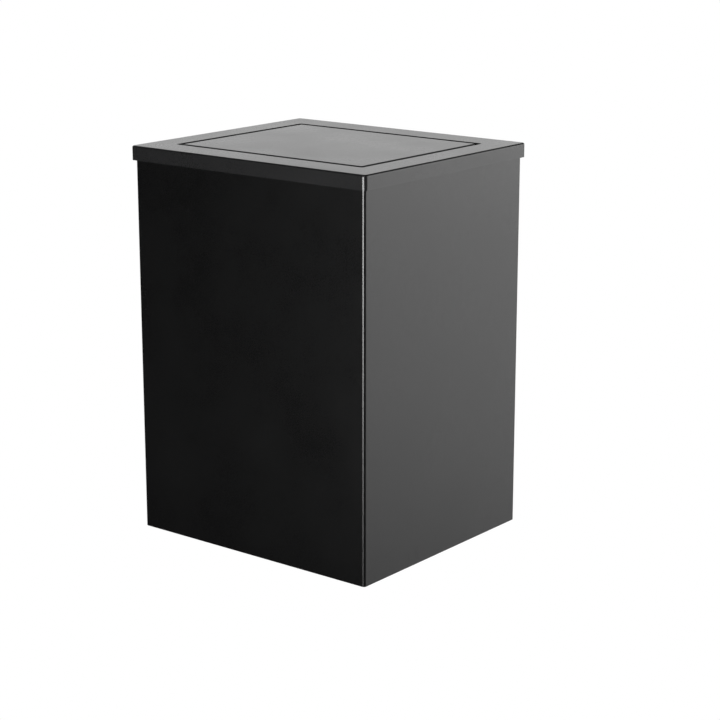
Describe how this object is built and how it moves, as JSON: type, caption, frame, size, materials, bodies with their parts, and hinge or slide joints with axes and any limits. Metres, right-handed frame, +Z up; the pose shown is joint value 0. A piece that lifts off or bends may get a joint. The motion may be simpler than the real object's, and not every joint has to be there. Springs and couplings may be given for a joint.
{
  "type": "parcel drop box",
  "caption": "Rectangular sheet-steel parcel box with an overhanging hinged cap, a flush sprung push-in flap in its top, a cam lock, rubber feet and fixing holes.",
  "frame": {"origin": "on the floor, under the middle of the box", "axes": "+Z up, -Y out of the front, +X out of the right-hand side"},
  "size_m": [0.409, 0.36, 0.55],
  "materials": {
    "black_powder_coat": "fine-textured black powder coat",
    "black_hinge": "black painted rolled hinge steel",
    "black_rivet": "black coated rivet heads",
    "black_rubber": "matt moulded rubber",
    "mat_rubber": "ribbed matt rubber",
    "bright_steel": "ground steel rod",
    "zinc_plate": "bright zinc plated steel",
    "spring_steel": "oiled spring wire",
    "white_nylon": "natural moulded nylon",
    "black_acetal": "black moulded acetal",
    "lock_chrome": "satin nickel plated lock"
  },
  "bodies": {
    "body": {"body_wrap": "black_powder_coat", "top_frame": "black_powder_coat", "rear_panel": "black_powder_coat", "panel_rivets": "black_rivet", "base_tray": "black_powder_coat", "feet": "black_rubber", "floor_mat": "mat_rubber", "lid_buffers": "black_rubber", "hinge_leaf_lower": "black_hinge", "hinge_pin": "bright_steel", "lower_leaf_rivets": "black_rivet", "lock_barrel": "lock_chrome", "lock_washer": "zinc_plate", "lock_nut": "zinc_plate"},
    "cap": {"cap_lid": "black_powder_coat", "hinge_leaf_upper": "black_hinge", "upper_leaf_rivets": "black_rivet", "lid_stop_quadrants": "zinc_plate", "lid_stop_pins": "bright_steel", "lock_keeper": "zinc_plate", "pivot_brackets": "black_powder_coat", "pivot_rod": "bright_steel", "rod_clips": "spring_steel", "rod_spacers": "black_acetal", "spring_right": "spring_steel", "spring_left": "spring_steel", "cap_nuts": "zinc_plate"},
    "flap": {"flap_panel": "black_powder_coat", "flap_lugs": "zinc_plate", "flap_bushes": "white_nylon", "flap_stiffener": "black_powder_coat", "flap_stop": "black_powder_coat", "stop_bumpers": "black_rubber", "flap_nuts": "zinc_plate"},
    "lock": {"lock_plug": "lock_chrome", "lock_cam": "zinc_plate", "cam_screw": "zinc_plate"}
  },
  "joints": [
    {"name": "cap_hinge", "type": "hinge", "parent": "body", "child": "cap", "pos_m": [0, 0.17785, 0.5271], "axis": [-1, 0, 0], "range_deg": [0, 100]},
    {"name": "flap_hinge", "type": "hinge", "parent": "cap", "child": "flap", "pos_m": [0, 0.11925, 0.53], "axis": [1, 0, 0], "range_deg": [0, 80], "stiffness_Nm_per_rad": 0.85, "springref_deg": -148.97, "deforming": ["spring_right", "spring_left"]},
    {"name": "lock_turn", "type": "hinge", "parent": "body", "child": "lock", "pos_m": [-0.18, -0.105, 0.505], "axis": [1, 0, 0], "range_deg": [0, 90]}
  ]
}
